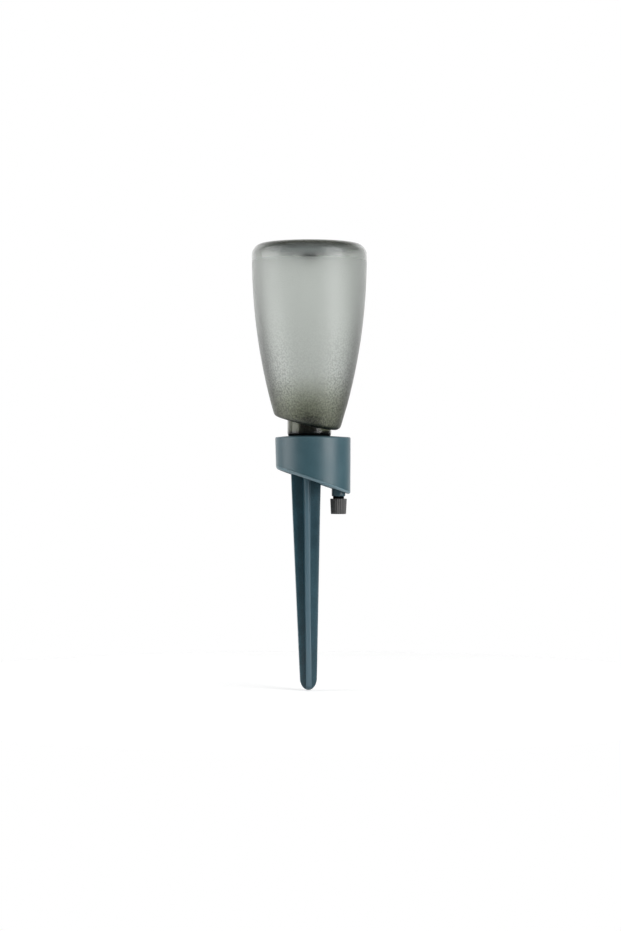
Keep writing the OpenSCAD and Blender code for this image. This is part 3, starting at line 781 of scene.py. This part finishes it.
def add_sky(context, stage):
    """White for the camera, gloss and glass, and dimmer for matt surfaces."""
    world = bpy.data.worlds.new("sky")
    tree = emptied(world)
    glossy = add(tree, "LightPath").outputs["Is Glossy Ray"]
    toward = add(tree, "TexCoord").outputs["Generated"]
    direction = add(tree, "SeparateXYZ", {0: toward}).outputs
    behind = ramp(tree, direction["Y"], 0.35, 0.65, 0.0, stage.backdrop)
    below = ramp(tree, direction["Z"], -0.5, -0.7, 0.0, stage.backdrop)
    level = ramp(tree, direction["Z"], -0.24, -0.04, 0.3, 1.0)
    bright = calc(tree, "MAXIMUM", calc(tree, "MULTIPLY", behind, level), below)
    shown = line(tree, glossy, 0.0, 1.0, stage.backdrop_fill, 1.0)
    plain = line(tree, glossy, 0.0, 1.0, stage.fill, stage.gloss)
    dim = calc(tree, "MAXIMUM", plain, calc(tree, "MULTIPLY", bright, shown))
    strength = calc(tree, "MAXIMUM", dim, seen_directly(tree))
    sky = add(tree, "Background", {"Color": (1, 1, 1, 1), "Strength": strength})
    add(tree, "OutputWorld", {"Surface": sky.outputs[0]})
    context.scene.world = world


def seen_directly(tree):
    """1 for rays straight from the camera or through the bottle, and 0 for the rest."""
    rays = add(tree, "LightPath").outputs
    return calc(tree, "MAXIMUM", rays["Is Camera Ray"], rays["Is Transmission Ray"])


def add_floor(stage):
    """Adds a pale floor that keeps the object's shadow."""
    deselect()
    bpy.ops.mesh.primitive_circle_add(
        vertices=96, radius=stage.floor, fill_type="NGON", location=(0, 0, -0.0004)
    )
    floor = bpy.context.object
    floor.name = "floor"
    made = bpy.data.materials.new("pale_floor")
    tree = emptied(made)
    glossy = add(tree, "LightPath").outputs["Is Glossy Ray"]
    seen = calc(tree, "MAXIMUM", seen_directly(tree), glossy)
    glow = calc(tree, "MULTIPLY", seen, stage.floor_glow)
    matt = add(tree, "BsdfDiffuse", {"Color": (0.8, 0.8, 0.8, 1)})
    light = add(tree, "Emission", {"Color": (1, 1, 1, 1), "Strength": glow})
    both = add(tree, "AddShader", {0: matt.outputs[0], 1: light.outputs[0]})
    add(tree, "OutputMaterial", {"Surface": both.outputs[0]})
    floor.data.materials.append(made)


class DRIPSPIKE_OT_stage(bpy.types.Operator):
    """Sets up the camera, the soft boxes, the pale floor and the sky"""

    bl_idname = "drip_spike.stage"
    bl_label = "Stage"

    def execute(self, context):
        """Builds the stage; each lamp has a power, a turn in degrees, a height and a size."""
        stage = context.scene.drip_stage
        add_camera(context, stage)
        for name, power, turned, height, size in (
            ("soft_box_left", stage.lamp_left, -88, 0.45, (0.9, 1.3)),
            ("soft_box_right", stage.lamp_right, 47, 0.45, (0.7, 1.3)),
            ("low_box_left", stage.lamp_low, -78, -0.55, (0.6, 0.7)),
            ("low_box_right", stage.lamp_low, 80, -0.55, (0.6, 0.7)),
            ("soft_box_rear_left", stage.lamp_rear, -155, 0.35, (0.5, 1.3)),
            ("soft_box_rear_right", stage.lamp_rear, 155, 0.35, (0.5, 1.3)),
            ("soft_box_top", stage.lamp_top, 10, 1.6, (1.4, 1.4)),
        ):
            add_lamp(context, name, power, math.radians(turned), height, size)
        add_sky(context, stage)
        add_floor(stage)
        context.scene.view_settings.view_transform = "Standard"
        return {"FINISHED"}


def bottle_outline(s, angle):
    """Outline of the outside at an angle, from the vent hole down to the neck's end."""
    widest_z = TOP_Z - s.widest_drop
    hollow_z = TOP_Z - s.hollow
    shoulder_z = COLLAR_Z + s.shoulder_rise
    lowness = math.cos(angle - s.shoulder_turn)
    slope = math.tan(s.shoulder_tilt) * lowness

    def side(z):
        reach = math.sqrt(s.side_curve ** 2 - (widest_z - z) ** 2)
        return s.widest - s.side_curve + reach

    run, rise = s.seat_inner - s.hollow_flat, s.hollow - s.lip
    dome = (run * run + rise * rise) / 2 / rise
    corners = [(s.vent_hole, hollow_z)]
    for out in spread(0, run, 10)[:-1]:
        z = hollow_z + dome - math.sqrt(dome ** 2 - out ** 2)
        corners.append((s.hollow_flat + out, z))
    corners += [
        (s.seat_inner, TOP_Z - s.lip, 0.3, 2),
        (s.seat_inner, TOP_Z, 1.25, 5),
        (s.widest, TOP_Z, s.corner, 12),
    ]
    corners += [(side(z), z) for z in spread(widest_z, shoulder_z + 15, 14)]
    rim_z = settle(shoulder_z, lambda z: shoulder_z - side(z) * slope)
    corners += [
        (side(rim_z), rim_z, s.shoulder_round * (1 + 0.25 * lowness), 8),
        (s.collar, shoulder_z - s.collar * slope, 0.7, 3),
        (s.collar, COLLAR_Z, 0.6, 3),
        (s.neck, COLLAR_Z, 0.3, 2),
    ]
    for z in spread(COLLAR_Z - 0.6, NECK_Z, 46):
        out = thread(angle, z, NECK_Z + s.ridge_width, s, s.ridge)
        corners.append((s.neck + out, z))
    return rounded(corners)


def weigh_walls(piece, s):
    """Vertex weights for the walls of the side, neck, collar and hollowed base."""
    weights = piece.vertex_groups.new(name="wall")
    middle_z = (NECK_Z + TOP_Z) / 2
    for vertex in piece.data.vertices:
        z = vertex.co.z / MM
        r = math.hypot(vertex.co.x / MM - BOTTLE_X, vertex.co.y / MM)
        wall = s.side_wall
        if z < COLLAR_Z + 0.2:
            wall = s.neck_wall
        elif r < s.collar + 0.2 and z < middle_z:
            wall = s.collar_wall
        elif z > TOP_Z - s.hollow - 1.2 and r < s.seat_inner - 0.7:
            wall = s.wall
        weights.add([vertex.index], wall / s.wall, "REPLACE")


def ream_bore(piece, s):
    """Makes the inside of the neck a plain round bore."""
    for vertex in piece.data.vertices:
        out = Vector((vertex.co.x / MM - BOTTLE_X, vertex.co.y / MM, 0))
        z = vertex.co.z / MM
        if z < COLLAR_Z - 0.1 and out.length < s.neck - 0.3:
            place = out.normalized() * s.bore
            vertex.co = Vector((BOTTLE_X + place.x, place.y, z)) * MM


class DRIPSPIKE_OT_bottle(bpy.types.Operator):
    """Models the bottle with its hollowed base, slanted shoulder and threaded neck"""

    bl_idname = "drip_spike.bottle"
    bl_label = "Bottle"

    def execute(self, context):
        """Models the outside as rings, then gives it its walls."""
        s = in_mm(context.scene.drip_bottle)
        rings = turn(lambda a: bottle_outline(s, a), BOTTLE_X, s.columns)
        piece = extrude_rings("bottle_body", rings, capped=False)
        only(piece)
        weigh_walls(piece, s)
        solid = piece.modifiers.new("walls", "SOLIDIFY")
        solid.thickness = s.wall * MM
        solid.offset = -1
        solid.use_even_offset = True
        solid.use_quality_normals = True
        solid.vertex_group = "wall"
        bpy.ops.object.modifier_apply(modifier=solid.name)
        piece.vertex_groups.clear()
        ream_bore(piece, s)
        material = smoky_plastic(context.scene.drip_finish)
        finish_piece(piece, "reservoir", material, ["bottle"], smooth=50)
        return {"FINISHED"}


def drum_outline(s, angle):
    """Outline of the wall at an angle, from its top edge round the rim to its ceiling."""

    def plane(r, rise=0.0):
        return slanted(s.rim_z + rise, s.rim_tilt, DRUM_X + r * math.cos(angle))

    edge_z = DECK_Z - s.deck_round
    low = s.low + s.low_out * math.cos(angle)
    taper = (s.top - low) / (edge_z - s.low_z)
    r = settle(s.top, lambda r: low + taper * (plane(r) - s.low_z))
    z = plane(r)
    inner, over = s.bore - s.ledge, s.ledge_rise + s.ledge_deep
    return rounded([
        (0, DECK_Z),
        (s.top, DECK_Z, s.deck_round, 4),
        (r, z + s.groove_rise + s.groove),
        (r - s.groove, z + s.groove_rise),
        (r, z + s.groove_rise - s.groove),
        (r, z, s.rim_round, 8),
        (s.bore, plane(s.bore), 0.3, 2),
        (s.bore, plane(s.bore, s.ledge_rise)),
        (inner, plane(inner, s.ledge_rise)),
        (inner, plane(inner, over)),
        (s.bore, plane(s.bore, over)),
        (s.bore, DECK_Z - s.deck),
    ])[1:]


class DRIPSPIKE_OT_drum(bpy.types.Operator):
    """Models the drum with its slanted, rounded rim and the hole for the socket"""

    bl_idname = "drip_spike.drum"
    bl_label = "Drum"

    def execute(self, context):
        """Models the drum as rings from the socket's hole round its wall and back."""
        drum = context.scene.drip_drum
        s = in_mm(drum)
        wall = turn(lambda a: drum_outline(s, a), DRUM_X, s.columns)
        crown_z = DECK_Z + s.crown
        hole = rounded([(s.hole, crown_z), (s.crown_out, crown_z), (s.hole, DECK_Z - s.deck)])
        upper, crown, lower = turn(lambda a: hole, BOTTLE_X, s.columns)
        piece = extrude_rings("drum", [upper, crown, *wall, lower], closed=True)
        material = satin_teal(context.scene.drip_finish, drum)
        finish_piece(piece, "holder", material, ["holder_shell"])
        return {"FINISHED"}


def spike_section(s, reach, z):
    """Corners of the four ribs where they reach out to a radius: ten for each rib."""
    thin = (s.root - s.edge) / (s.top - s.root)

    def half_thick(x):
        return s.root - (x - s.root) * thin

    if reach > s.root * math.sqrt(2):
        x = settle(reach, lambda x: math.sqrt(reach ** 2 - half_thick(x) ** 2))
        corner = Vector((x, half_thick(x)))
        start = Vector((s.root, s.root))
    else:
        corner = start = Vector((1, 1)).normalized() * reach
    half = math.atan2(corner.y, corner.x)
    arc = [Vector((math.cos(half * k), math.sin(half * k))) * reach for k in (1, 0.5, 0)]
    upper = [start.lerp(corner, k / 3) for k in range(3)] + arc[:2]
    lower = [Vector((p.x, -p.y)) for p in upper]
    outline = lower + [arc[2]] + upper[:0:-1]
    points = []
    for rib in range(4):
        turned = Matrix.Rotation(math.pi / 2 * rib, 2)
        points += [Vector((*(turned @ p), z)) for p in outline]
    return points


def spike_rings(s, drum):
    """Rings of points of the leaning spike, from its tip up to the top of its plug."""
    plate_z = drum.rim_z + drum.plate_rise
    lean = Matrix.Rotation(-s.lean, 3, "Y")
    grow = (s.top - s.low) / (drum.rim_z - s.tip)

    def raised(point):
        """Lifts a point of the upright spike until, leaning, it meets the slanted plate."""

        def nearer(height):
            placed = lean @ Vector((point.x, point.y, height))
            return height + slanted(plate_z, drum.rim_tilt, placed.x) - placed.z

        return Vector((point.x, point.y, settle(plate_z, nearer)))

    steps = 12
    rings = []
    for i in range(steps):
        a = math.pi / 2 * (i + 0.4) / (steps - 0.6)
        rings.append(spike_section(s, s.low * math.sin(a), s.tip * (1 - math.cos(a))))
    for z in spread(s.tip, drum.rim_z, 6)[1:-1]:
        rings.append(spike_section(s, s.low + grow * (z - s.tip), z))
    root = [raised(p) for p in spike_section(s, s.low + grow * (plate_z - s.tip), 0)]
    across = [math.atan2(p.y, p.x) for p in root]
    foot = [Vector((math.cos(a), math.sin(a), 0)) for a in across]
    rings += [root, [raised(p * s.plug) for p in foot]]
    plug_top = raised(Vector()).z + s.plug_high
    for r, z in ((s.plug, plug_top - 0.6), (s.plug - 0.6, plug_top)):
        rings.append([Vector((p.x * r, p.y * r, z)) for p in foot])
    return [[lean @ p * MM for p in ring] for ring in rings]


class DRIPSPIKE_OT_spike(bpy.types.Operator):
    """Models the ground spike with its four ribs, rounded tip and plug"""

    bl_idname = "drip_spike.spike"
    bl_label = "Ground spike"

    def execute(self, context):
        """Models the spike as rings and rounds the long edges of its ribs."""
        s, drum = in_mm(context.scene.drip_spike), in_mm(context.scene.drip_drum)
        piece = extrude_rings("ground_spike", spike_rings(s, drum))
        edges = {10 * rib + corner for rib in range(4) for corner in (3, 7)}
        bevel_columns(piece, edges, s.tip + 0.5, s.soft_edge)
        material = ribbed_teal(context.scene.drip_finish)
        finish_piece(piece, "holder", material, ["spike"], smooth=30)
        return {"FINISHED"}


def pipe_outline(s, drum, angle):
    """Outline at an angle, from the pipe's slanted top down, round the seat and back up."""

    def plane(r):
        plate_z = drum.rim_z + drum.plate_rise
        return slanted(plate_z, drum.rim_tilt, VALVE_X + r * math.cos(angle))

    journal_z = PIPE_Z - s.journal
    stem = []
    for z in spread(journal_z, STEM_Z + 0.2, 24)[1:-1]:
        out = thread(angle, z, STEM_Z + s.ridge_width, s, s.stem - s.core)
        stem.append((s.core + out, z))
    seat_z = STEM_Z + s.seat_high
    boss_z = SPIGOT_TOP_Z - s.barb_high
    groove_z = boss_z - 2 * s.groove_high
    groove_top = groove_z + s.groove_high
    return rounded([
        (s.pipe, plane(s.pipe)),
        (s.pipe, PIPE_Z, 0.8, 5),
        (s.stem, PIPE_Z),
        (s.stem, journal_z, 0.2, 2),
        (s.core, journal_z - 0.05),
        *stem,
        (s.core, STEM_Z, 0.2, 2),
        (s.seat, STEM_Z, 0.1, 2),
        (s.seat, seat_z),
        (s.pipe_bore, seat_z),
        (s.pipe_bore, SPIGOT_TOP_Z),
        (s.spigot, SPIGOT_TOP_Z, 0.2, 2),
        (s.spigot + s.barb, boss_z),
        (s.spigot, boss_z),
        (s.spigot, groove_top),
        (s.groove, groove_top),
        (s.groove, groove_z),
        (s.spigot, groove_z),
        (s.spigot, plane(s.spigot)),
    ])


class DRIPSPIKE_OT_pipe(bpy.types.Operator):
    """Models the outlet pipe with its spigot, seal groove and threaded stem"""

    bl_idname = "drip_spike.pipe"
    bl_label = "Outlet pipe"

    def execute(self, context):
        """Models the pipe as rings, down its outside and up its bore."""
        s, drum = in_mm(context.scene.drip_valve), in_mm(context.scene.drip_drum)
        rings = turn(lambda a: pipe_outline(s, drum, a), VALVE_X, 72)
        piece = extrude_rings("outlet_pipe_body", rings, closed=True)
        material = moulded(context.scene.drip_finish, "Glossy dark teal")
        finish_piece(piece, "holder", material, ["outlet_pipe"])
        return {"FINISHED"}


def knob_outline(s, crest):
    """Outline of the cap where its ribs stand out by a share, crest."""
    outline = rounded([
        (s.drip, ARM_Z),
        (s.drip, KNOB_Z, 0.25, 2),
        (s.knob_low, KNOB_Z, 0.4, 3),
        (s.knob_top, KNOB_TOP_Z, 0.4, 3),
        (s.knob_bore, KNOB_TOP_Z, 0.2, 2),
        (s.knob_bore, ARM_Z),
    ])
    for point in outline:
        if point.x > (s.drip + s.knob_low) / 2:
            point.x -= s.rib * (1 - crest)
    return outline


def hub_arm(s, top, angle):
    """One bevelled arm from the hub to the cap's wall, sunk a little into both."""
    into_hub, into_wall = 0.15, 0.12
    inner, outer = s.hub - into_hub, s.knob_bore + into_wall
    out = Vector(((inner + outer) / 2, 0, 0))
    spot = Vector((VALVE_X, 0, (ARM_Z + top) / 2)) + Matrix.Rotation(angle, 3, "Z") @ out
    bpy.ops.mesh.primitive_cube_add(
        size=1, location=spot * MM, rotation=(0, 0, angle),
        scale=((outer - inner) * MM, s.arm * MM, (top - ARM_Z) * MM),
    )
    arm = bpy.context.object
    bpy.ops.object.transform_apply(location=True, rotation=True, scale=True)
    soft = arm.modifiers.new("soft", "BEVEL")
    soft.width, soft.segments = 0.15 * MM, 2
    bpy.ops.object.modifier_apply(modifier=soft.name)
    return arm


class DRIPSPIKE_OT_knob(bpy.types.Operator):
    """Models the ribbed drip knob with the arms and hub that hold its needle"""

    bl_idname = "drip_spike.knob"
    bl_label = "Drip knob"

    def execute(self, context):
        """Models the ribbed cap, the hub and the three arms, and joins them."""
        s = in_mm(context.scene.drip_valve)
        waves = (0, 0.12, 0.75, 1, 1, 1, 0.75, 0.12)
        columns = s.ribs * len(waves)
        step = 2 * math.pi / columns

        def outline(angle):
            return knob_outline(s, waves[round(angle / step) % len(waves)])

        cap = extrude_rings("ribbed_knob", turn(outline, VALVE_X, columns), closed=True)
        hub_top = KNOB_Z + s.hub_high
        hub = rounded([
            (s.needle, ARM_Z),
            (s.hub, ARM_Z, 0.2, 3),
            (s.hub, hub_top, 0.2, 3),
            (s.needle, hub_top),
        ])
        parts = [cap, extrude_rings("hub", turn(lambda a: hub, VALVE_X, 36), closed=True)]
        deselect()
        parts += [hub_arm(s, hub_top, math.radians(turned)) for turned in (0, 120, 240)]
        deselect()
        for part in parts:
            part.select_set(True)
        bpy.context.view_layer.objects.active = cap
        bpy.ops.object.join()
        material = moulded(context.scene.drip_finish, "Matt grey")
        finish_piece(cap, "knob", material, ["drip_knob"])
        return {"FINISHED"}


def vent_outline(s):
    """Outline of the vent plug: head, groove, bead and breather hole."""
    low, high = (corner.z for corner in node_box("vent_plug"))
    seat_z = high - s.vent_thick
    bead_z = low + s.vent_thick
    bead_top = bead_z + s.vent_thick
    return rounded([
        (s.breather, low),
        (s.vent_neck - s.vent_thick, low, 0.3, 2),
        (s.vent_bead, bead_z, 0.4, 3),
        (s.vent_bead, bead_top, 0.3, 2),
        (s.vent_neck, bead_top),
        (s.vent_neck, seat_z),
        (s.vent, seat_z, 0.15, 2),
        (s.vent, high, 0.7, 5),
        (s.breather + 1.3, high, 0.3, 2),
        (s.breather, high - 0.6),
    ])


class DRIPSPIKE_OT_rubber(bpy.types.Operator):
    """Models the neck gasket, the ring over the knob and the vent plug"""

    bl_idname = "drip_spike.rubber"
    bl_label = "Rubber rings and plug"

    def execute(self, context):
        """Models the three pieces as rings."""
        s = in_mm(context.scene.drip_rubber)
        rubber = moulded(context.scene.drip_finish, "Soft black rubber")
        seat_z = DECK_Z + in_mm(context.scene.drip_drum).crown
        gasket = rounded([
            (s.gasket_bore, seat_z),
            (s.gasket, seat_z, 1.2, 6),
            (s.gasket, COLLAR_Z, 0.5, 4),
            (s.gasket_bore, COLLAR_Z),
        ])
        seal = rounded([
            (s.seal_bore, KNOB_TOP_Z),
            (s.seal, KNOB_TOP_Z, 0.35, 4),
            (s.seal, PIPE_Z, 0.35, 4),
            (s.seal_bore, PIPE_Z),
        ])
        for name, outline, axis, body, node in (
            ("neck_ring", gasket, BOTTLE_X, "neck_ring", "neck_gasket"),
            ("knob_ring", seal, VALVE_X, "stem_ring", "knob_seal"),
            ("vent_cap", vent_outline(s), BOTTLE_X, "reservoir", "vent_plug"),
        ):
            piece = extrude_rings(name, turn(lambda a: outline, axis, 96), closed=True)
            finish_piece(piece, body, rubber, [node])
        return {"FINISHED"}


class DRIPSPIKE_OT_inner(bpy.types.Operator):
    """Gives the pieces inside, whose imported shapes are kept, their finishes"""

    bl_idname = "drip_spike.inner"
    bl_label = "Inner pieces"

    def execute(self, context):
        """Gives each kept node its material."""
        for node, name in (
            ("socket_cup", "Satin dark teal"), ("base_plate", "Satin dark teal"),
            ("base_seal", "Soft black rubber"), ("outlet_seal", "Soft black rubber"),
            ("strainer", "Matt black"), ("metering_needle", "Matt black"),
        ):
            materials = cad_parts[node].data.materials
            materials.clear()
            materials.append(moulded(context.scene.drip_finish, name))
        return {"FINISHED"}


SETTINGS = {
    "drip_bottle": BottleSizes,
    "drip_drum": DrumSizes,
    "drip_spike": SpikeSizes,
    "drip_valve": ValveSizes,
    "drip_rubber": RubberSizes,
    "drip_finish": Finishes,
    "drip_stage": StageSettings,
}
OPERATORS = (
    DRIPSPIKE_OT_stage,
    DRIPSPIKE_OT_spike,
    DRIPSPIKE_OT_drum,
    DRIPSPIKE_OT_pipe,
    DRIPSPIKE_OT_knob,
    DRIPSPIKE_OT_rubber,
    DRIPSPIKE_OT_inner,
    DRIPSPIKE_OT_bottle,
)


class DRIPSPIKE_PT_sidebar(bpy.types.Panel):
    """Lists the sizes and the operators in the 3D view's sidebar"""

    bl_idname = "DRIPSPIKE_PT_sidebar"
    bl_label = "Drip Watering Spike"
    bl_space_type = "VIEW_3D"
    bl_region_type = "UI"
    bl_category = "Drip Spike"

    def draw(self, context):
        """Draws each group of sizes, then the operators."""
        for name in SETTINGS:
            group = getattr(context.scene, name)
            box = self.layout.box()
            for setting in own_settings(group):
                box.prop(group, setting.identifier)
        for operator in OPERATORS:
            self.layout.operator(operator.bl_idname)


def register():
    """Registers the classes and hangs the settings on the scene."""
    for cls in (*SETTINGS.values(), *OPERATORS, DRIPSPIKE_PT_sidebar):
        bpy.utils.register_class(cls)
    for name, cls in SETTINGS.items():
        setattr(bpy.types.Scene, name, PointerProperty(type=cls))


def unregister():
    """Takes the settings off the scene and unregisters the classes."""
    for name in SETTINGS:
        delattr(bpy.types.Scene, name)
    for cls in reversed((*SETTINGS.values(), *OPERATORS, DRIPSPIKE_PT_sidebar)):
        bpy.utils.unregister_class(cls)


def main():
    register()
    for operator in OPERATORS:
        family, name = operator.bl_idname.split(".")
        getattr(getattr(bpy.ops, family), name)()
    deselect()


if __name__ == "__main__":
    main()
